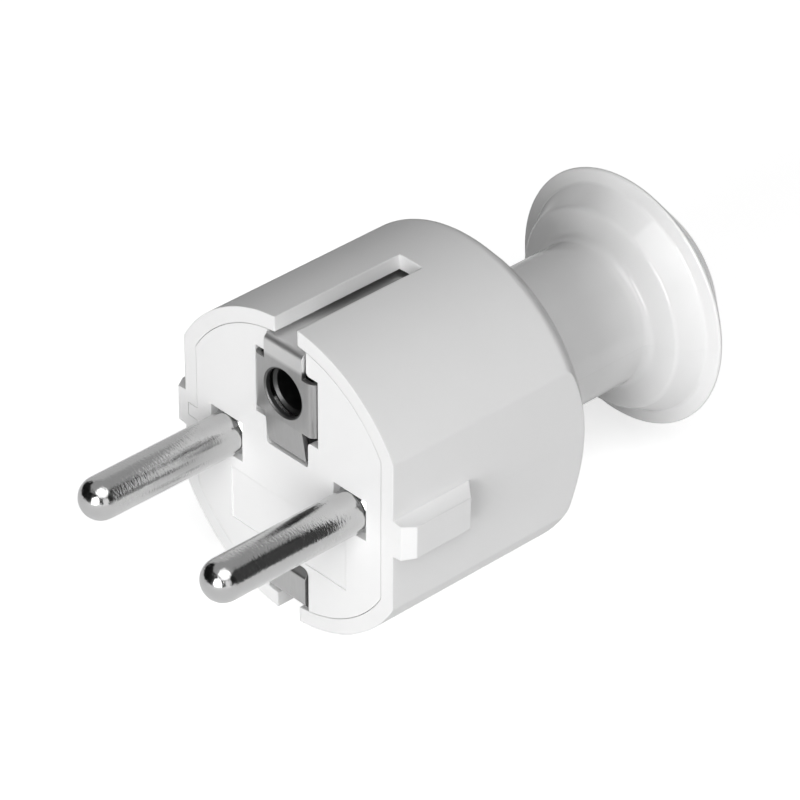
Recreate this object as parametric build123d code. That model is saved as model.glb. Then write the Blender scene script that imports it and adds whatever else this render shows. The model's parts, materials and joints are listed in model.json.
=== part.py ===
from build123d import *
import math
import os

# Earthed plug with two round pins, side earth strips, an earth pin hole and a pull knob.
# Millimetres. Origin: centre of the front face. Pins point along -Y, the knob lies along +Y, +Z is up.

# Pins
pin_pitch = 19.0            # centre to centre of the two pins
pin_radius = 2.4
pin_reach = 19.5            # how far a pin stands out of the face
block_side = 4.8            # square terminal block behind the face
block_front = 0.35          # how far the block starts behind the face
block_end = 12.5
block_cone_radius = 2.2     # its front corners are turned to a cone that starts so wide
relief_radius = 1.95        # narrow turned neck between shaft and block
relief_front = 0.05
wire_bore_radius = 1.4
wire_bore_depth = 6.5
terminal_screw_y = 9.2

# Cover
cover_radius = 18.4
flat_half = 16.0            # centre to each side flat
cover_length = 27.5
rear_slope_in = 2.7         # sloped rear edge: how far it runs in and forward, and its rounding
rear_slope_length = 2.5
rear_round = 1.6
corner_round = 0.8          # where a flat meets the round side
wall = 1.8
rear_wall = 2.1
slot_half = 1.72
slot_length = 17.25
rail_reach = 1.0            # short inner rails that stop the carrier
rail_height = 2.0
rim_edge = 0.15

# Guide ribs on the flats
rib_height = 2.1
rib_front_height = 1.15     # height at the face, before the lead-in
rib_lead_end = 1.4
rib_root_half = 2.25
rib_outer_half = 1.98
rib_root_end = 10.6
rib_outer_end = 8.9

# Contact carrier
fit_gap = 0.05              # between moulded parts that slide together
plate_thickness = 3.2
key_reach = 1.4             # orientation key at the left flat
key_half = 0.75
key_depth = 2.0
pin_opening_gap = 0.05
pocket_wall = 1.5
earth_neck_half = 3.0       # stepped opening for the earth plate, from top to bottom
earth_neck_low = 13.5
earth_wide_half = 4.75
earth_wide_low = 5.3
earth_foot_half = 3.2
earth_foot_low = 2.1
earth_corner_round = 0.45
notch_half = 3.1            # opening for the lower strip
notch_top = -11.0
notch_round = 0.8
chamber_wall = 1.2
shelf_thickness = 1.0
roof_gap = 0.3              # between the earth socket and the roof of its chamber
shelf_gap = 2.2             # from the chamber's rear to the strip's bridge
panel_half = 8.9            # shallow rectangular field on the face
panel_top = -3.9
panel_bottom = -10.4
panel_depth = 0.12

# Pin retainer
retainer_thickness = 1.5
retainer_half_height = 3.4
retainer_margin = 1.1       # from its ends to the carrier's flats
retainer_screw_x = 3.6
post_radius = 2.1

# Earth parts
sheet = 0.6                 # thickness of the folded strip
strip_half = 2.85
strip_inset = 0.6           # from the cover's inside to the outer face of both arms
strip_front = -0.5          # front face of the earth plate
plate_foot_z = 2.7
plate_foot_lean = 0.55
plate_bend_z = 6.5
foot_bend = 1.0
front_bend = 0.8            # outer radius of the bends at the face
rear_bend = 1.2
bridge_gap = 0.6            # from the bridge's rear face to the cord clamp
wing_half = 4.6
wing_top = 13.05
wing_end = 3.0
earth_hole_radius = 2.75
earth_hole_z = 10.0
earth_hole_edge = 0.15      # chamfer round the hole's front
lower_end_z = -12.3
lower_front = -0.3
lower_tip_lean = 0.7
socket_radius = 2.45        # inside of the split sleeve
socket_sheet = 0.5
socket_front = 0.6
socket_end = 14.0
socket_slit = 1.0
socket_edge = 0.3           # chamfer inside the sleeve's mouth
tail_half = 2.0
tail_drop = 2.6
tail_bend = 0.55            # outer radius of the tail's bend
earth_screw_z = 9.6
rivet_radius = 0.5
rivet_head = 0.8
rivet_head_height = 0.4
washer_side = 5.6
washer_thickness = 0.7

# Screws
screw_radius = 1.5
thread_gap = 0.03
small_screw_radius = 1.0
head_radius = 2.6
head_height = 1.8
small_head_radius = 1.9
small_head_height = 1.3
clamp_screw_radius = 1.25
handle_head_radius = 1.5
head_edge = 0.25            # chamfer round a screw head
drive_slot_width = 0.7
drive_slot_depth = 0.8
retainer_screw_length = 7.0
earth_screw_length = 3.2
clamp_screw_length = 6.0
assembly_screw_z = -9.1
assembly_radius = 1.25
assembly_head_radius = 1.6
screw_end_gap = 1.0         # from the assembly screw's end to the rear wall
handle_screw_length = 7.0
handle_screw_circle = 6.8

# Cord clamp
cord_radius = 4.0
clamp_setback = 5.6         # from the clamp's front to the rear wall
clamp_width = 4.2
clamp_thickness = 2.2
clamp_post_x = 10.0
clamp_post_half = 1.6
clamp_post_bottom = -5.4
saddle_thickness = 1.1
clamp_gap = 0.2
cradle_depth = 0.7
boss_radius = 2.9
boss_length = 4.4

# Handle
neck_radius = 8.4
spigot_radius = 5.2
spigot_length = 2.9
cord_bore_radius = 4.1
knob_y = 48.7               # the knob's rim; the knob's other places are taken from here
rim_corner_radius = 15.35   # corner of the rim before it is rounded
rim_setback = 0.16
rim_round = 0.28
band_radius = 13.37         # inner edge of the flat band inside the rim
band_setback = 0.5
band_round = 0.4
shoulder_radius = 11.73     # edge between the knob's sloped front and the face round the neck
shoulder_setback = 3.42
shoulder_round = 0.8
neck_setback = 4.4
neck_round = 1.2
knob_back = 5.0             # from the rim to the flat back
crown_radius = 9.6          # where the back's slope meets its flat
crown_round = 1.0
mouth_round = 1.8

pin_x = pin_pitch / 2
inner_radius = cover_radius - wall
inner_flat = flat_half - wall
inner_end = cover_length - rear_wall
carrier_radius = inner_radius - fit_gap
carrier_flat = inner_flat - fit_gap
pin_opening_half = block_side / 2 + pin_opening_gap
rail_low = pin_opening_half + pocket_wall + fit_gap
retainer_half_width = carrier_flat - retainer_margin
shank_radius = screw_radius - thread_gap
small_shank_radius = small_screw_radius - thread_gap
clamp_front = inner_end - clamp_setback
bridge_y = clamp_front - bridge_gap     # rear face of the bridge
shelf_end = bridge_y - shelf_gap
boss_front = inner_end - boss_length
assembly_screw_end = inner_end - screw_end_gap
strip_level = inner_radius - strip_inset
shelf_top = strip_level - sheet - fit_gap
socket_outer = socket_radius + socket_sheet
roof_low = earth_hole_z + socket_outer + roof_gap
tail_level = earth_hole_z - socket_outer
tail_end = tail_level - tail_drop
rivet_z = (tail_level - tail_bend + tail_end) / 2
chamber_half = earth_wide_half + fit_gap
clamp_post_top = cord_radius + clamp_gap / 2
back_y = knob_y + knob_back
far = 60.0                  # longer than any piece, for cutting tools


def block(x0, x1, y0, y1, z0, z1):
    centre = Pos((x0 + x1) / 2, (y0 + y1) / 2, (z0 + z1) / 2)
    return centre * Box(x1 - x0, y1 - y0, z1 - z0)


def rod(radius, y0, y1, x=0, z=0):
    """Round bar along Y."""
    return Pos(x, (y0 + y1) / 2, z) * Rot(90, 0, 0) * Cylinder(radius, y1 - y0)


def upright(radius, z0, z1, x, y):
    """Round bar along Z."""
    return Pos(x, y, (z0 + z1) / 2) * Cylinder(radius, z1 - z0)


def prism(sketch, y0, y1):
    """Sketch of the front view, made solid from y0 back to y1."""
    return extrude(Plane.XZ.offset(-y0) * sketch, amount=y0 - y1)


def body_outline(radius, half):
    """Circle with two side flats and slightly rounded corners."""
    outline = Circle(radius) & Rectangle(2 * half, 2 * radius)
    return fillet(outline.vertices(), corner_round)


def turned_body(radius, y0, y1):
    """Round body about the Y axis with a sloped and rounded rear edge."""
    outline = FilletPolyline(
        (0, y1), (radius - rear_slope_in, y1), (radius, y1 - rear_slope_length), (radius, y0),
        radius=rear_round)
    closing = Polyline((radius, y0), (0, y0), (0, y1))
    return revolve(make_face(outline + closing), Axis.Y)


def guide_rib():
    """Rib on the right flat: sloped lead-in at the front, tapered top, bottom and rear."""
    root = flat_half - rim_edge
    outer = flat_half + rib_height
    side = Polyline(
        (root, 0), (flat_half + rib_front_height, 0), (outer, rib_lead_end),
        (outer, rib_outer_end), (flat_half, rib_root_end), (root, rib_root_end), close=True)
    front = Polyline(
        (root, -rib_root_half), (flat_half, -rib_root_half), (outer, -rib_outer_half),
        (outer, rib_outer_half), (flat_half, rib_root_half), (root, rib_root_half), close=True)
    long_form = extrude(make_face(side), amount=rib_root_half, both=True)
    return long_form & prism(make_face(front), 0, rib_root_end)


def make_cover():
    form = prism(body_outline(cover_radius, flat_half), 0, cover_length)
    form &= turned_body(cover_radius, 0, cover_length)
    cavity = prism(body_outline(inner_radius, inner_flat), -1, inner_end)
    cavity &= turned_body(inner_radius, -1, inner_end)
    cover = form - cavity
    rail = form & block(
        inner_flat - rail_reach, inner_flat + wall / 2, plate_thickness + fit_gap,
        inner_end, rail_low, rail_low + rail_height)
    for added in (guide_rib(), rail, mirror(rail, Plane.XY)):
        cover += added
        cover += mirror(added, Plane.YZ)
    for side in (-1, 1):
        post = block(
            side * clamp_post_x - clamp_post_half, side * clamp_post_x + clamp_post_half,
            clamp_front, inner_end + rear_wall / 2, clamp_post_bottom, clamp_post_top)
        post -= upright(
            clamp_screw_radius, clamp_post_top - clamp_screw_length + clamp_thickness - fit_gap,
            clamp_post_top + 1, side * clamp_post_x, clamp_front + clamp_width / 2)
        cover += post
    slot = block(-slot_half, slot_half, -1, slot_length, strip_level, cover_radius + 1)
    cover -= slot
    cover -= mirror(slot, Plane.XY)
    cover += block(
        -clamp_post_x, clamp_post_x, clamp_front, clamp_front + clamp_width,
        clamp_post_bottom, clamp_post_bottom + saddle_thickness)
    cover += rod(boss_radius, boss_front, inner_end + rear_wall / 2, z=assembly_screw_z)
    cover -= rod(assembly_radius, boss_front - 1, assembly_screw_end + fit_gap, z=assembly_screw_z)
    cover -= block(
        -inner_flat - key_reach - fit_gap, -inner_flat + 1, -1, key_depth + fit_gap,
        -key_half - fit_gap, key_half + fit_gap)
    cover -= rod(spigot_radius + fit_gap, inner_end - 1, cover_length + 1)
    for x, z in handle_screw_places():
        cover -= rod(small_screw_radius + fit_gap, inner_end - 1, cover_length + 1, x, z)
    return cover


def earth_opening():
    """Stepped opening in the carrier for the earth plate: neck, wide middle, foot."""
    top = inner_radius + 1
    outline = Pos(0, (earth_foot_low + top) / 2) * Rectangle(
        2 * earth_neck_half, top - earth_foot_low)
    outline += Pos(0, (earth_wide_low + earth_neck_low) / 2) * Rectangle(
        2 * earth_wide_half, earth_neck_low - earth_wide_low)
    outline += Pos(0, (earth_foot_low + earth_wide_low) / 2) * Rectangle(
        2 * earth_foot_half, earth_wide_low - earth_foot_low)
    inner_corners = outline.vertices().filter_by(
        lambda corner: abs(corner.X) < (earth_foot_half + earth_wide_half) / 2
        and earth_foot_low < corner.Y < top)
    return prism(fillet(inner_corners, earth_corner_round), -1, plate_thickness)


def lower_notch():
    """Opening in the carrier for the turned-up end of the lower strip."""
    height = inner_radius + notch_top + 1
    outline = Pos(0, notch_top - height / 2) * Rectangle(2 * notch_half, height)
    upper = outline.vertices().sort_by(Axis.Y)[-2:]
    return prism(fillet(upper, notch_round), -1, plate_thickness + 1)


def pin_pocket():
    """Square tube behind the plate for the right terminal block, open above its screw."""
    outer = pin_opening_half + pocket_wall
    head_room = small_head_radius + fit_gap
    pocket = block(pin_x - outer, carrier_flat, plate_thickness - 1, block_end, -outer, outer)
    pocket -= block(
        pin_x - head_room, pin_x + head_room,
        terminal_screw_y - head_room, block_end + 1, 0, outer + 1)
    return pocket


def make_carrier():
    outline = body_outline(carrier_radius, carrier_flat)
    carrier = prism(outline, 0, plate_thickness)
    pocket = pin_pocket()
    carrier += pocket
    carrier += mirror(pocket, Plane.YZ)
    for side in (-1, 1):
        carrier += rod(post_radius, plate_thickness - 1, block_end, side * retainer_screw_x)
    carrier += rod(boss_radius, plate_thickness - 1, block_end, z=assembly_screw_z)
    chamber_outer = chamber_half + chamber_wall
    carrier += block(
        -chamber_outer, chamber_outer, plate_thickness - 1, shelf_end,
        earth_wide_low, shelf_top)
    carrier -= block(
        -chamber_half, chamber_half, plate_thickness, shelf_end + 1,
        earth_wide_low - 1, roof_low)
    carrier += block(
        -notch_half - chamber_wall, notch_half + chamber_wall, plate_thickness - 1, shelf_end,
        -shelf_top, -shelf_top + shelf_thickness)
    for side in (-1, 1):
        wall_x = side * (notch_half + chamber_wall / 2)
        carrier += block(
            wall_x - chamber_wall / 2, wall_x + chamber_wall / 2, plate_thickness - 1, shelf_end,
            -shelf_top, notch_top - notch_round)
    carrier &= prism(outline, 0, shelf_end + 1)
    carrier += block(
        -carrier_flat - key_reach, -carrier_flat + 1, 0, key_depth, -key_half, key_half)
    for side in (-1, 1):
        x = side * pin_x
        carrier -= block(
            x - pin_opening_half, x + pin_opening_half, -1, block_end + 1,
            -pin_opening_half, pin_opening_half)
        carrier -= rod(
            small_screw_radius, block_end - retainer_screw_length, block_end + 1,
            side * retainer_screw_x)
    carrier -= earth_opening()
    carrier -= lower_notch() & block(-far, far, -1, plate_thickness, -far, far)
    carrier -= rod(assembly_radius + fit_gap, -1, block_end + 1, z=assembly_screw_z)
    carrier -= countersink()
    carrier -= block(-panel_half, panel_half, -1, panel_depth, panel_bottom, panel_top)
    return carrier


def countersink():
    """Cone for the assembly screw's head, just under the shallow field."""
    depth = assembly_head_radius + fit_gap
    section = Polyline((0, 0), (depth, 0), (depth, panel_depth), (0, depth + panel_depth), close=True)
    cone = revolve(make_face(section), Axis.Y)
    return Pos(0, 0, assembly_screw_z) * cone


def make_pin(side):
    """Turned pin with a round tip, running back into its square terminal block."""
    x = side * pin_x
    cheek = block_side / 2
    shaft = rod(pin_radius, -pin_reach + pin_radius, relief_front, x)
    neck = rod(relief_radius, 0, block_front + 1, x)
    tip = Pos(x, -pin_reach + pin_radius, 0) * Sphere(pin_radius)
    terminal = block(x - cheek, x + cheek, block_front, block_end, -cheek, cheek)
    corner_reach = 2 * block_side
    cone = Pos(x, block_front + corner_reach / 2, 0) * Rot(90, 0, 0) * Cone(
        block_cone_radius + corner_reach, block_cone_radius, corner_reach)
    terminal &= cone + rod(2 * block_side, block_front + corner_reach, block_end, x)
    pin = shaft + tip + neck + terminal
    pin -= rod(wire_bore_radius, block_end - wire_bore_depth, block_end + 1, x)
    pin -= upright(screw_radius, 0, cheek + 1, x, terminal_screw_y)
    return pin


def screw(shank, length, head, height):
    """Cheese-head screw with a slotted head: shank along -Z, head above the origin."""
    body = Pos(0, 0, -length / 2) * Cylinder(shank, length)
    top = Pos(0, 0, height / 2) * Cylinder(head, height)
    top = chamfer(top.edges().sort_by(Axis.Z)[-1], head_edge)
    drive = Pos(0, 0, height - drive_slot_depth / 2) * Box(2 * head, drive_slot_width, drive_slot_depth)
    return body + top - drive


def make_terminal_screw(side):
    cheek = block_side / 2
    place = Pos(side * pin_x, terminal_screw_y, cheek)
    return place * screw(shank_radius, cheek - fit_gap, small_head_radius, small_head_height)


def make_retainer():
    rear = block_end + retainer_thickness
    plate = prism(
        RectangleRounded(2 * retainer_half_width, 2 * retainer_half_height, corner_round),
        block_end, rear)
    for side in (-1, 1):
        plate -= rod(wire_bore_radius + fit_gap, block_end - 1, rear + 1, side * pin_x)
        plate -= rod(
            small_screw_radius + fit_gap, block_end - 1, rear + 1, side * retainer_screw_x)
    return plate


def rear_facing(x, y, z):
    """Place for a screw whose head looks towards +Y."""
    return Pos(x, y, z) * Rot(-90, 0, 0)


def front_facing(x, y, z):
    """Place for a screw whose head looks towards -Y."""
    return Pos(x, y, z) * Rot(90, 0, 0)


def make_retainer_screw(side):
    place = rear_facing(side * retainer_screw_x, block_end + retainer_thickness, 0)
    length = retainer_screw_length + retainer_thickness - fit_gap
    return place * screw(
        small_shank_radius, length, min(small_head_radius, post_radius), small_head_height)


def make_earth_strip():
    """One folded sheet: earth plate, top arm, rear bridge, bottom arm and its turned-up end."""
    half = sheet / 2
    plate_y = strip_front + half
    arm_z = strip_level - half
    bridge_mid = bridge_y - half
    lower_y = lower_front + half
    path = FilletPolyline(
        (plate_y + plate_foot_lean, plate_foot_z), (plate_y, plate_bend_z),
        (plate_y, arm_z), (bridge_mid, arm_z), (bridge_mid, -arm_z),
        (lower_y, -arm_z), (lower_y, lower_end_z),
        (lower_y + lower_tip_lean, lower_end_z + lower_tip_lean),
        radius=[
            foot_bend, front_bend - half, rear_bend - half,
            rear_bend - half, front_bend - half, half])
    strip = extrude(Plane.YZ * trace(path, sheet), amount=strip_half, both=True)
    wing_x = wing_half - half
    wings = FilletPolyline(
        (-wing_x, wing_end), (-wing_x, plate_y), (wing_x, plate_y), (wing_x, wing_end),
        radius=front_bend - half)
    strip += Pos(0, 0, plate_bend_z) * extrude(trace(wings, sheet), amount=wing_top - plate_bend_z)
    strip -= rod(earth_hole_radius, strip_front - 1, strip_front + 2 * sheet, z=earth_hole_z)
    rim = strip.edges().filter_by(GeomType.CIRCLE).group_by(Axis.Y)[0].sort_by(SortBy.RADIUS)[-1]
    strip = chamfer(rim, earth_hole_edge)
    strip -= rod(screw_radius, bridge_y - 2 * sheet, bridge_y + 1, z=earth_screw_z)
    strip -= rod(rivet_radius, bridge_y - 2 * sheet, bridge_y + 1, z=rivet_z)
    strip -= rod(
        assembly_radius + fit_gap, bridge_y - 2 * sheet, bridge_y + 1, z=assembly_screw_z)
    return strip


def make_earth_socket():
    """Split sleeve for the earth pin, with a flat tail that turns down against the bridge."""
    sleeve = rod(socket_outer, socket_front, socket_end, z=earth_hole_z)
    tail_mid = tail_level + socket_sheet / 2
    tail_back = bridge_y - sheet
    path = FilletPolyline(
        (socket_end - 2 * socket_sheet, tail_mid),
        (tail_back - socket_sheet / 2, tail_mid),
        (tail_back - socket_sheet / 2, tail_end),
        radius=tail_bend - socket_sheet / 2)
    tail = extrude(Plane.YZ * trace(path, socket_sheet), amount=tail_half, both=True)
    socket = sleeve + tail
    socket -= rod(socket_radius, socket_front - 1, socket_end + 1, z=earth_hole_z)
    mouth_edges = socket.edges().filter_by(GeomType.CIRCLE).group_by(Axis.Y)[0]
    socket = chamfer(mouth_edges.sort_by(SortBy.RADIUS)[0], socket_edge)
    socket -= block(
        -socket_slit / 2, socket_slit / 2, socket_front - 1, socket_end + 1,
        earth_hole_z, earth_hole_z + socket_outer + 1)
    socket -= rod(rivet_radius, tail_back - 2 * socket_sheet, bridge_y + 1, z=rivet_z)
    return socket


def make_earth_rivet():
    front = bridge_y - sheet - socket_sheet
    rivet = rod(rivet_radius - thread_gap, front, bridge_y, z=rivet_z)
    rivet += rod(rivet_head, front - rivet_head_height, front, z=rivet_z)
    rivet += rod(rivet_head, bridge_y, bridge_y + rivet_head_height, z=rivet_z)
    return rivet


def make_earth_washer():
    washer = prism(RectangleRounded(washer_side, washer_side, corner_round), 0, washer_thickness)
    washer -= rod(screw_radius + fit_gap, -1, washer_thickness + 1)
    return Pos(0, bridge_y, earth_screw_z) * washer


def make_earth_screw():
    place = rear_facing(0, bridge_y + washer_thickness, earth_screw_z)
    return place * screw(
        shank_radius, earth_screw_length + washer_thickness, head_radius - fit_gap, head_height)


def make_cord_clamp():
    """Bar across the cord, with a shallow cradle for the sheath."""
    reach = clamp_post_x + clamp_post_half
    middle = clamp_front + clamp_width / 2
    bar = block(
        -reach, reach, clamp_front, clamp_front + clamp_width,
        clamp_post_top, clamp_post_top + clamp_thickness)
    bar = fillet(bar.edges().filter_by(Axis.Y).sort_by(Axis.Z)[-2:], clamp_thickness / 2)
    cradle_radius = 2 * cord_radius
    bar -= rod(
        cradle_radius, clamp_front - 1, clamp_front + clamp_width + 1,
        z=clamp_post_top + cradle_depth - cradle_radius)
    for side in (-1, 1):
        bar -= upright(
            clamp_screw_radius + fit_gap, clamp_post_top - 1, clamp_post_top + clamp_thickness + 1,
            side * clamp_post_x, middle)
    return bar


def make_clamp_screw(side):
    place = Pos(side * clamp_post_x, clamp_front + clamp_width / 2, clamp_post_top + clamp_thickness)
    return place * screw(
        clamp_screw_radius - thread_gap, clamp_screw_length - fit_gap,
        small_head_radius, small_head_height)


def make_assembly_screw():
    """Long countersunk screw from the face to the boss on the rear wall."""
    head = assembly_head_radius
    shank = assembly_radius - thread_gap
    section = Polyline(
        (0, panel_depth), (head, panel_depth), (shank, panel_depth + head - shank),
        (shank, assembly_screw_end), (0, assembly_screw_end), close=True)
    body = revolve(make_face(section), Axis.Y)
    body -= block(
        -head, head, panel_depth - 1, panel_depth + drive_slot_depth,
        -drive_slot_width / 2, drive_slot_width / 2)
    return Pos(0, 0, assembly_screw_z) * body


def handle_screw_places():
    """Three points on a circle round the handle's spigot: top, lower left, lower right."""
    places = []
    for angle in (90, 210, 330):
        turn = math.radians(angle)
        places.append((handle_screw_circle * math.cos(turn), handle_screw_circle * math.sin(turn)))
    return places


def make_handle_screw(x, z):
    place = front_facing(x, inner_end, z)
    return place * screw(
        small_shank_radius, handle_screw_length, handle_head_radius, small_head_height)


def make_handle():
    """Neck that widens into a mushroom knob with a stepped front, bored through for the cord."""
    spigot_front = cover_length - spigot_length
    inside = Polyline(
        (cord_bore_radius, spigot_front), (spigot_radius, spigot_front),
        (spigot_radius, cover_length), (neck_radius, cover_length))
    outside = FilletPolyline(
        (neck_radius, cover_length),
        (neck_radius, knob_y - neck_setback),
        (shoulder_radius, knob_y - shoulder_setback),
        (band_radius, knob_y - band_setback),
        (rim_corner_radius, knob_y - rim_setback),
        (crown_radius, back_y),
        (cord_bore_radius, back_y),
        (cord_bore_radius, spigot_front),
        radius=[neck_round, shoulder_round, band_round, rim_round, crown_round, mouth_round])
    handle = revolve(make_face(inside + outside), Axis.Y)
    for x, z in handle_screw_places():
        handle -= rod(
            small_screw_radius, cover_length - 1,
            inner_end + handle_screw_length + fit_gap, x, z)
    return handle


def main():
    nodes = {
        "cover": make_cover(),
        "contact_carrier": make_carrier(),
        "left_pin": make_pin(-1),
        "right_pin": make_pin(1),
        "left_terminal_screw": make_terminal_screw(-1),
        "right_terminal_screw": make_terminal_screw(1),
        "pin_retainer": make_retainer(),
        "retainer_screw_left": make_retainer_screw(-1),
        "retainer_screw_right": make_retainer_screw(1),
        "earth_strip": make_earth_strip(),
        "earth_socket": make_earth_socket(),
        "earth_rivet": make_earth_rivet(),
        "earth_washer": make_earth_washer(),
        "earth_screw": make_earth_screw(),
        "cord_clamp": make_cord_clamp(),
        "cord_clamp_screw_left": make_clamp_screw(-1),
        "cord_clamp_screw_right": make_clamp_screw(1),
        "assembly_screw": make_assembly_screw(),
        "handle": make_handle(),
    }
    names = ("handle_screw_top", "handle_screw_left", "handle_screw_right")
    for name, (x, z) in zip(names, handle_screw_places()):
        nodes[name] = make_handle_screw(x, z)
    os.makedirs("parts", exist_ok=True)
    for name, solid in nodes.items():
        export_step(solid, f"parts/{name}.step")


main()
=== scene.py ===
import json
import math
import bpy
import bmesh
from mathutils import Matrix, Vector

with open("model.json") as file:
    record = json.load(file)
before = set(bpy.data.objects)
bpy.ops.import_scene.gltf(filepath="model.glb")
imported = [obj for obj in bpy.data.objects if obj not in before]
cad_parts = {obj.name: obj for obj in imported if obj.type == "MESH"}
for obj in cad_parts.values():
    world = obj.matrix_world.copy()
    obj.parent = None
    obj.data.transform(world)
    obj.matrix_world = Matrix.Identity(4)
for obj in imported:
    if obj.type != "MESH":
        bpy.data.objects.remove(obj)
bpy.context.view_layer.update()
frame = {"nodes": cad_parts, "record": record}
nodes = frame["nodes"]

MM = 0.001
WHITE = (1.0, 1.0, 1.0, 1.0)

# Camera, solved from the pins, the rim and the knob in the photograph
CAMERA_AZIMUTH = 46.976
CAMERA_ELEVATION = 34.577
CAMERA_ROLL = 0.275
CAMERA_DISTANCE = 476.013 * MM
CAMERA_TARGET = Vector((16.947, 0.0, 17.587)) * MM
CAMERA_LENS = 216.68

# The lowest line of the housing touches the floor
FLOOR_Z = -18.4 * MM
FLOOR_RADIUS = 4.0
FLOOR_SEEN = 0.7
FLOOR_MIRRORED = 0.3

# The hole for the earth pin: how high its axis lies, and how far its chamfered rim reaches
EARTH_HOLE_Z = 10 * MM
EARTH_HOLE_RIM = 2.92 * MM
RIM_FADE = 0.08 * MM

# The top arm of the earth strip: what lies above this level, and how far back its front gets painted
# light, paler where light from the slot falls
ARM_LEVEL = 14 * MM
ARM_FADE = 0.5 * MM
PAINTED_LIGHT_LENGTH = 9 * MM
PAINTED_LIGHT_EVENLY = 0.4

# Walls round the table, as azimuths: 0 is in front of the pins and 90 on the right
ROOM_RADIUS = 1.2
ROOM_HEIGHT = 1.29
ROOM_COLOUR = "#3a3a3a"
PALE_CARD_START = 196
PALE_CARD_END = 262
PALE_CARD_GLOW = 0.62

# Dark card close to the plug on the right, behind the pins
DARK_CARD_RADIUS = 0.125
DARK_CARD_HEIGHT = 0.12
DARK_CARD_START = 104
DARK_CARD_END = 152
DARK_CARD_GLOW = 0.07

# Light from everywhere: what it gives the plug, and how bright it looks in a mirror
SKY_GLOW = 0.03
SKY_MIRRORED = 0.42

# The softboxes point at the plug's axis, a little behind its face
LIGHT_AIM = Vector((0.0, 10.0, 0.0)) * MM


def linear(code):
    """Linear colour with alpha from an sRGB hex code."""
    def one(value):
        return value / 12.92 if value <= 0.04045 else ((value + 0.055) / 1.055) ** 2.4
    parts = [int(code[i:i + 2], 16) / 255 for i in (1, 3, 5)]
    return (*[one(part) for part in parts], 1.0)


def add_node(tree, kind, inputs, **settings):
    """Adds a node. Each input takes a value or another node's output socket."""
    made = tree.nodes.new(kind)
    for name, value in settings.items():
        setattr(made, name, value)
    for name, value in inputs.items():
        if isinstance(value, bpy.types.NodeSocket):
            tree.links.new(value, made.inputs[name])
        else:
            made.inputs[name].default_value = value
    return made


def new_finish(name, **constants):
    """Material with its node tree, its shader and the object coordinates."""
    finish = bpy.data.materials.new(name)
    finish.use_nodes = True
    tree = finish.node_tree
    shader = tree.nodes["Principled BSDF"]
    for socket, value in constants.items():
        shader.inputs[socket.replace("_", " ")].default_value = value
    place = add_node(tree, "ShaderNodeTexCoord", {}).outputs["Object"]
    return finish, tree, shader, place


def mixed(tree, amount, low, high):
    """Colour between two hex codes."""
    mix = add_node(
        tree, "ShaderNodeMix", {0: amount, 6: linear(low), 7: linear(high)}, data_type="RGBA")
    return mix.outputs[2]


def painted_over(tree, under, part, code):
    """The colour under it, with another one where part is one."""
    mix = add_node(
        tree, "ShaderNodeMix", {0: part, 6: under, 7: linear(code)}, data_type="RGBA")
    return mix.outputs[2]


def ranged(tree, value, low, high, start=0.0, end=1.0):
    """Maps a value from one range to another, held at the ends."""
    made = add_node(
        tree, "ShaderNodeMapRange",
        {"Value": value, "From Min": start, "From Max": end, "To Min": low, "To Max": high})
    return made.outputs["Result"]


def grain(tree, place, size, detail=2.0):
    """Noise whose spots are about the given size."""
    made = add_node(
        tree, "ShaderNodeTexNoise", {"Vector": place, "Scale": 1 / size, "Detail": detail})
    return made.outputs["Fac"]


def squeezed(tree, place, scale):
    """Coordinates in which a pattern comes out narrower along an axis by that axis's factor."""
    made = add_node(tree, "ShaderNodeMapping", {"Vector": place, "Scale": scale})
    return made.outputs["Vector"]


def seam(tree, place, half_width):
    """One along the line where the two halves of the mould met, at the height of the pins."""
    height = add_node(tree, "ShaderNodeSeparateXYZ", {"Vector": place}).outputs["Z"]
    away = add_node(tree, "ShaderNodeMath", {0: height}, operation="ABSOLUTE").outputs[0]
    return ranged(tree, away, 1.0, 0.0, 0.0, half_width)


def bump(tree, height, distance, normal=None):
    """Normals of a relief that is as high as distance where height is one."""
    inputs = {"Height": height, "Distance": distance, "Strength": 1.0}
    if normal is not None:
        inputs["Normal"] = normal
    return add_node(tree, "ShaderNodeBump", inputs).outputs["Normal"]


def soft_edges(tree, radius):
    """Normals that turn over the tiny rounding every moulded or stamped edge has."""
    return add_node(tree, "ShaderNodeBevel", {"Radius": radius}, samples=6).outputs["Normal"]


def spark_eroded_plastic():
    """White ABS from a spark-eroded mould: a matt skin with a fine even grain and a faint seam.

    The real grain is a few hundredths of a millimetre, and is drawn coarser so that it shows.
    """
    finish, tree, shader, place = new_finish("spark_eroded_abs", IOR=1.53)
    skin = grain(tree, place, 0.22 * MM)
    cloud = grain(tree, place, 9 * MM)
    tree.links.new(mixed(tree, cloud, "#ededed", "#f1f1f1"), shader.inputs["Base Color"])
    tree.links.new(ranged(tree, skin, 0.42, 0.56), shader.inputs["Roughness"])
    edge = soft_edges(tree, 0.2 * MM)
    fine = bump(tree, skin, 0.006 * MM, edge)
    line = bump(tree, seam(tree, place, 0.1 * MM), 0.012 * MM, fine)
    tree.links.new(line, shader.inputs["Normal"])
    return finish


def satin_plastic():
    """White ABS from a blasted mould: smoother than the housing, with a soft sheen."""
    finish, tree, shader, place = new_finish("satin_abs", IOR=1.53)
    skin = grain(tree, place, 0.4 * MM)
    cloud = grain(tree, place, 6 * MM)
    tree.links.new(mixed(tree, cloud, "#eeeeee", "#f2f2f2"), shader.inputs["Base Color"])
    tree.links.new(ranged(tree, skin, 0.34, 0.44), shader.inputs["Roughness"])
    fine = bump(tree, skin, 0.003 * MM, soft_edges(tree, 0.1 * MM))
    tree.links.new(fine, shader.inputs["Normal"])
    return finish


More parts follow.
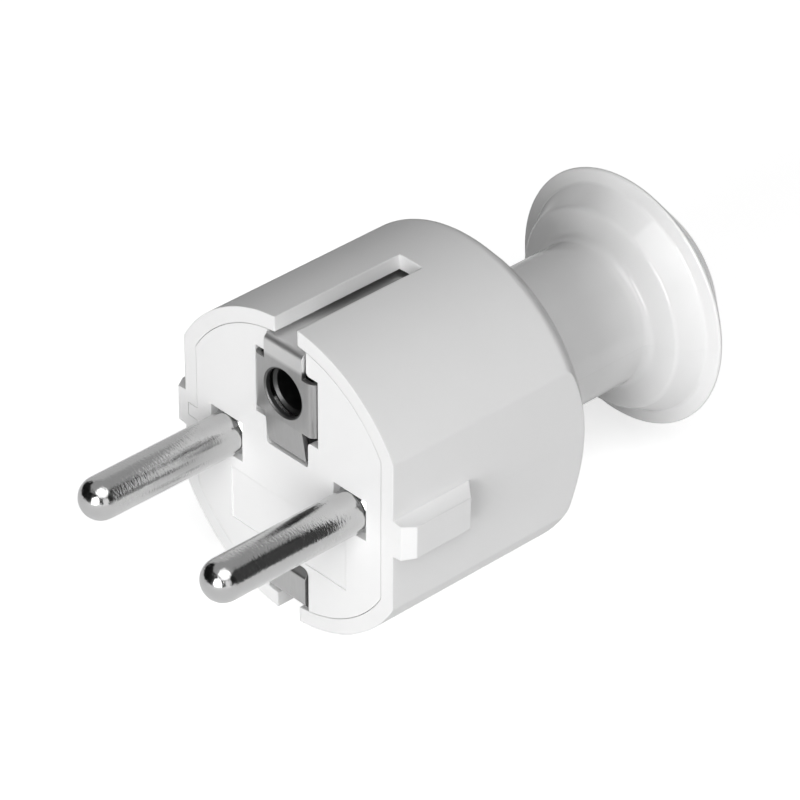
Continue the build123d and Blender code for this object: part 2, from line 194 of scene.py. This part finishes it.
def polished_plastic():
    """White ABS from a polished mould: clear reflections, a slight waviness and a faint seam."""
    finish, tree, shader, place = new_finish("polished_abs", IOR=1.53)
    wave = grain(tree, place, 4 * MM, 1.0)
    haze = grain(tree, place, 1.2 * MM, 3.0)
    tree.links.new(mixed(tree, wave, "#ededed", "#f1f1f1"), shader.inputs["Base Color"])
    tree.links.new(ranged(tree, haze, 0.03, 0.07), shader.inputs["Roughness"])
    soft = bump(tree, wave, 0.012 * MM, soft_edges(tree, 0.12 * MM))
    line = bump(tree, seam(tree, place, 0.12 * MM), 0.01 * MM, soft)
    tree.links.new(line, shader.inputs["Normal"])
    return finish


def inner_plastic():
    """Grey moulded polyamide of the pieces inside: dull, with a slight unevenness."""
    finish, tree, shader, place = new_finish("grey_polyamide", IOR=1.53)
    skin = grain(tree, place, 0.5 * MM)
    tree.links.new(mixed(tree, skin, "#a2a29e", "#acaca8"), shader.inputs["Base Color"])
    tree.links.new(ranged(tree, skin, 0.4, 0.5), shader.inputs["Roughness"])
    tree.links.new(bump(tree, skin, 0.004 * MM), shader.inputs["Normal"])
    return finish


def turned_nickel():
    """Turned brass with bright nickel: short marks of the turning tool fray the reflections.

    The real marks are about a tenth of a millimetre apart, and are drawn coarser to show.
    """
    finish, tree, shader, place = new_finish("turned_nickel", Metallic=1.0)
    rings = grain(tree, squeezed(tree, place, (1.0, 2.4, 1.0)), 0.55 * MM, 3.0)
    wear = grain(tree, place, 2.5 * MM, 3.0)
    tree.links.new(mixed(tree, wear, "#c2c2c2", "#cecece"), shader.inputs["Base Color"])
    tree.links.new(ranged(tree, rings, 0.09, 0.22, 0.3, 0.7), shader.inputs["Roughness"])
    marks = bump(tree, rings, 0.032 * MM, soft_edges(tree, 0.08 * MM))
    tree.links.new(marks, shader.inputs["Normal"])
    return finish


def hole_rim(tree, place):
    """One within the chamfered rim of the hole for the earth pin, and zero outside it."""
    flattened = add_node(
        tree, "ShaderNodeMapping",
        {"Vector": place, "Location": (0.0, 0.0, -EARTH_HOLE_Z), "Scale": (1.0, 0.0, 1.0)})
    reach = add_node(
        tree, "ShaderNodeVectorMath", {0: flattened.outputs["Vector"]}, operation="LENGTH")
    return ranged(
        tree, reach.outputs["Value"], 1.0, 0.0, EARTH_HOLE_RIM, EARTH_HOLE_RIM + RIM_FADE)


def painted_light_front(tree, place):
    """One on the front of the top arm and the bend before it, falling to zero towards the rear: where
    the painted light goes.
    """
    apart = add_node(tree, "ShaderNodeSeparateXYZ", {"Vector": place})
    on_arm = ranged(tree, apart.outputs["Z"], 0.0, 1.0, ARM_LEVEL - ARM_FADE, ARM_LEVEL)
    return ranged(
        tree, apart.outputs["Y"], on_arm, 0.0, PAINTED_LIGHT_EVENLY * PAINTED_LIGHT_LENGTH, PAINTED_LIGHT_LENGTH)


def rolled_nickel():
    """Rolled brass sheet with satin nickel: a faint lengthwise grain and soft reflections.

    The rim of its punched hole gets painted shade, darker and rougher than the sheet, and the front
    of the top arm gets painted light, paler and rougher, where light from the slot above falls on it.
    """
    finish, tree, shader, place = new_finish("rolled_nickel", Metallic=1.0)
    drawn = grain(tree, squeezed(tree, place, (8.0, 1.0, 1.0)), 2.5 * MM, 4.0)
    rim = hole_rim(tree, place)
    painted_light_mask = painted_light_front(tree, place)
    sheet = mixed(tree, drawn, "#adadad", "#bcbcbc")
    # Painted shade: darker colour on the chamfered rim of the earth pin's hole, where it slopes into
    # the dark hole
    sheet = painted_over(tree, sheet, rim, "#6c6c6c")
    # Painted light: paler colour on the front of the top arm, where light from the slot falls on it
    sheet = painted_over(tree, sheet, painted_light_mask, "#e2e2e2")
    tree.links.new(sheet, shader.inputs["Base Color"])
    rim_roughness = ranged(tree, rim, ranged(tree, drawn, 0.24, 0.36), 0.5)
    tree.links.new(ranged(tree, painted_light_mask, rim_roughness, 0.42), shader.inputs["Roughness"])
    marks = bump(tree, drawn, 0.004 * MM, soft_edges(tree, 0.06 * MM))
    tree.links.new(marks, shader.inputs["Normal"])
    return finish


def shaded_sleeve():
    """Brass sleeve behind the earth hole, with painted shade: dark grey for the shade inside the
    hole, with soft reflections.
    """
    finish, tree, shader, place = new_finish("painted_shade_sleeve_nickel", Metallic=1.0)
    drawn = grain(tree, place, 0.8 * MM, 3.0)
    # Painted shade: the sleeve is coloured dark grey for the shade inside the hole
    tree.links.new(mixed(tree, drawn, "#474747", "#5a5a5a"), shader.inputs["Base Color"])
    tree.links.new(ranged(tree, drawn, 0.34, 0.46), shader.inputs["Roughness"])
    tree.links.new(bump(tree, drawn, 0.004 * MM, soft_edges(tree, 0.1 * MM)), shader.inputs["Normal"])
    return finish


def zinc_steel():
    """Zinc-plated steel screw: dull metal with small bright and dark patches."""
    finish, tree, shader, place = new_finish("zinc_plated_steel", Metallic=1.0)
    patch = grain(tree, place, 0.6 * MM, 3.0)
    tree.links.new(mixed(tree, patch, "#a9aaac", "#bfc0c1"), shader.inputs["Base Color"])
    tree.links.new(ranged(tree, patch, 0.28, 0.42), shader.inputs["Roughness"])
    tree.links.new(bump(tree, patch, 0.004 * MM), shader.inputs["Normal"])
    return finish


def dress():
    """Gives each solid the finish of its material slot, and the sleeve its own darker one with
    painted shade.
    """
    finishes = {
        "housing": spark_eroded_plastic(),
        "insert": satin_plastic(),
        "handle_gloss": polished_plastic(),
        "inner_plastic": inner_plastic(),
        "pin_metal": turned_nickel(),
        "earth_metal": rolled_nickel(),
        "screw_steel": zinc_steel(),
    }
    for part in frame["record"]["subparts"]:
        mesh = nodes[part["node"]].data
        mesh.materials.clear()
        mesh.materials.append(finishes[part["material_slot"]])
    # The sleeve shares the strip's slot, but gets the darker finish with painted shade for the inside
    # of the hole
    nodes["earth_socket"].data.materials[0] = shaded_sleeve()


def studio_finish(name, code, glow=0.0):
    """Matt material of the studio, which mirrors nothing and may glow white."""
    finish, tree, shader, _ = new_finish(
        name, Base_Color=linear(code), Roughness=1.0, Specular_IOR_Level=0.0,
        Emission_Color=WHITE, Emission_Strength=glow)
    return finish, tree, shader


def add_stage(name, form, finish):
    """Object of the studio, which isn't part of the plug."""
    mesh = bpy.data.meshes.new(name)
    form.to_mesh(mesh)
    form.free()
    mesh.materials.append(finish)
    made = bpy.data.objects.new(name, mesh)
    bpy.context.scene.collection.objects.link(made)
    return made


def level_by_ray(tree, plain, seen, mirrored):
    """Level for the light that falls on things, for what the camera sees, and for reflections."""
    rays = add_node(tree, "ShaderNodeLightPath", {})
    through = add_node(
        tree, "ShaderNodeMath",
        {0: rays.outputs["Is Camera Ray"], 1: rays.outputs["Is Transmission Ray"]},
        operation="MAXIMUM")
    direct = ranged(tree, through.outputs[0], plain, seen)
    return ranged(tree, rays.outputs["Is Glossy Ray"], direct, mirrored)


def build_floor():
    """Pale table top that looks white and keeps the shadow."""
    finish, tree, shader = studio_finish("pale_floor", "#f0f0f0")
    lift = level_by_ray(tree, 0.0, FLOOR_SEEN, FLOOR_MIRRORED)
    tree.links.new(lift, shader.inputs["Emission Strength"])
    form = bmesh.new()
    bmesh.ops.create_circle(form, cap_ends=True, segments=96, radius=FLOOR_RADIUS)
    bmesh.ops.translate(form, verts=form.verts, vec=(0, 0, FLOOR_Z))
    add_stage("floor", form, finish)


def wall_form(start, end, radius, height):
    """Upright wall on the floor from one azimuth to another."""
    form = bmesh.new()
    ring = bmesh.ops.create_circle(form, segments=180, radius=radius)["verts"]
    left_out = [
        point for point in ring
        if not start <= math.degrees(math.atan2(point.co.x, -point.co.y)) % 360 <= end]
    bmesh.ops.delete(form, geom=left_out, context="VERTS")
    bmesh.ops.translate(form, verts=form.verts, vec=(0, 0, FLOOR_Z))
    raised = bmesh.ops.extrude_edge_only(form, edges=form.edges[:])["geom"]
    top = [item for item in raised if isinstance(item, bmesh.types.BMVert)]
    bmesh.ops.translate(form, verts=top, vec=(0, 0, height))
    return form


def build_dark_walls():
    """Dark walls round the table, seen only in reflections and as less light from the sides."""
    finish, _, _ = studio_finish("dark_wall", ROOM_COLOUR)
    for name, first, last in (("right_wall", 0, PALE_CARD_START), ("left_wall", PALE_CARD_END, 360)):
        wall = add_stage(name, wall_form(first, last, ROOM_RADIUS, ROOM_HEIGHT), finish)
        wall.visible_camera = False


def add_card(name, form, glow):
    """Card that only the metal and the polished plastic mirror."""
    finish, _, _ = studio_finish(name, "#000000", glow)
    card = add_stage(name, form, finish)
    card.visible_camera = False
    card.visible_diffuse = False
    card.visible_transmission = False
    card.visible_shadow = False


def build_cards():
    """Pale card far behind on the left, and a dark one close behind on the right."""
    pale = wall_form(PALE_CARD_START, PALE_CARD_END, ROOM_RADIUS, ROOM_HEIGHT)
    add_card("pale_card", pale, PALE_CARD_GLOW)
    dark = wall_form(DARK_CARD_START, DARK_CARD_END, DARK_CARD_RADIUS, DARK_CARD_HEIGHT)
    add_card("dark_card", dark, DARK_CARD_GLOW)


def direction(azimuth, elevation):
    """Unit vector from the plug to an azimuth round it and a height above the table, in degrees."""
    a = math.radians(azimuth)
    e = math.radians(elevation)
    return Vector((math.sin(a) * math.cos(e), -math.cos(a) * math.cos(e), math.sin(e)))


def add_softbox(name, azimuth, elevation, distance, width, height, power):
    """Oval area light that points at the plug. The sizes are in metres, the power in watts."""
    way = direction(azimuth, elevation)
    lamp = bpy.data.lights.new(name, "AREA")
    lamp.shape = "ELLIPSE"
    lamp.size = width
    lamp.size_y = height
    lamp.energy = power
    made = bpy.data.objects.new(name, lamp)
    made.location = LIGHT_AIM + way * distance
    made.rotation_mode = "QUATERNION"
    made.rotation_quaternion = (-way).to_track_quat("-Z", "Y")
    made.visible_camera = False
    bpy.context.scene.collection.objects.link(made)


def build_softboxes():
    """A strong one in front of the pins, a weak one on the right and a large one above."""
    add_softbox(
        "front_softbox", azimuth=22, elevation=12, distance=0.7,
        width=0.42, height=0.5, power=3.88)
    add_softbox(
        "right_softbox", azimuth=72, elevation=12, distance=0.7,
        width=0.36, height=0.5, power=0.48)
    add_softbox(
        "top_softbox", azimuth=62, elevation=58, distance=0.9,
        width=0.9, height=0.9, power=3.9)


def build_world():
    """White beyond the floor for the camera, pale in reflections, and a faint glow on the plug."""
    world = bpy.data.worlds.new("studio")
    world.use_nodes = True
    tree = world.node_tree
    level = level_by_ray(tree, SKY_GLOW, 1.0, SKY_MIRRORED)
    tree.links.new(level, tree.nodes["Background"].inputs["Strength"])
    tree.nodes["Background"].inputs["Color"].default_value = WHITE
    bpy.context.scene.world = world


def build_camera():
    """Camera at the photograph's viewing angle, turned about its own axis by the roll."""
    a = math.radians(CAMERA_AZIMUTH)
    roll = math.radians(CAMERA_ROLL)
    back = direction(CAMERA_AZIMUTH, CAMERA_ELEVATION)
    level = Vector((math.cos(a), math.sin(a), 0.0))
    up = back.cross(level)
    right = level * math.cos(roll) + up * math.sin(roll)
    above = up * math.cos(roll) - level * math.sin(roll)
    turn = Matrix((right, above, back)).transposed()
    lens = bpy.data.cameras.new("camera")
    lens.lens = CAMERA_LENS
    lens.sensor_width = 36.0
    lens.clip_start = 0.01
    lens.clip_end = 20.0
    made = bpy.data.objects.new("camera", lens)
    made.matrix_world = Matrix.Translation(CAMERA_TARGET + back * CAMERA_DISTANCE) @ turn.to_4x4()
    bpy.context.scene.collection.objects.link(made)
    bpy.context.scene.camera = made


dress()
build_floor()
build_dark_walls()
build_cards()
build_world()
build_softboxes()
build_camera()

bpy.context.scene.view_settings.view_transform = "Standard"
bpy.context.view_layer.update()
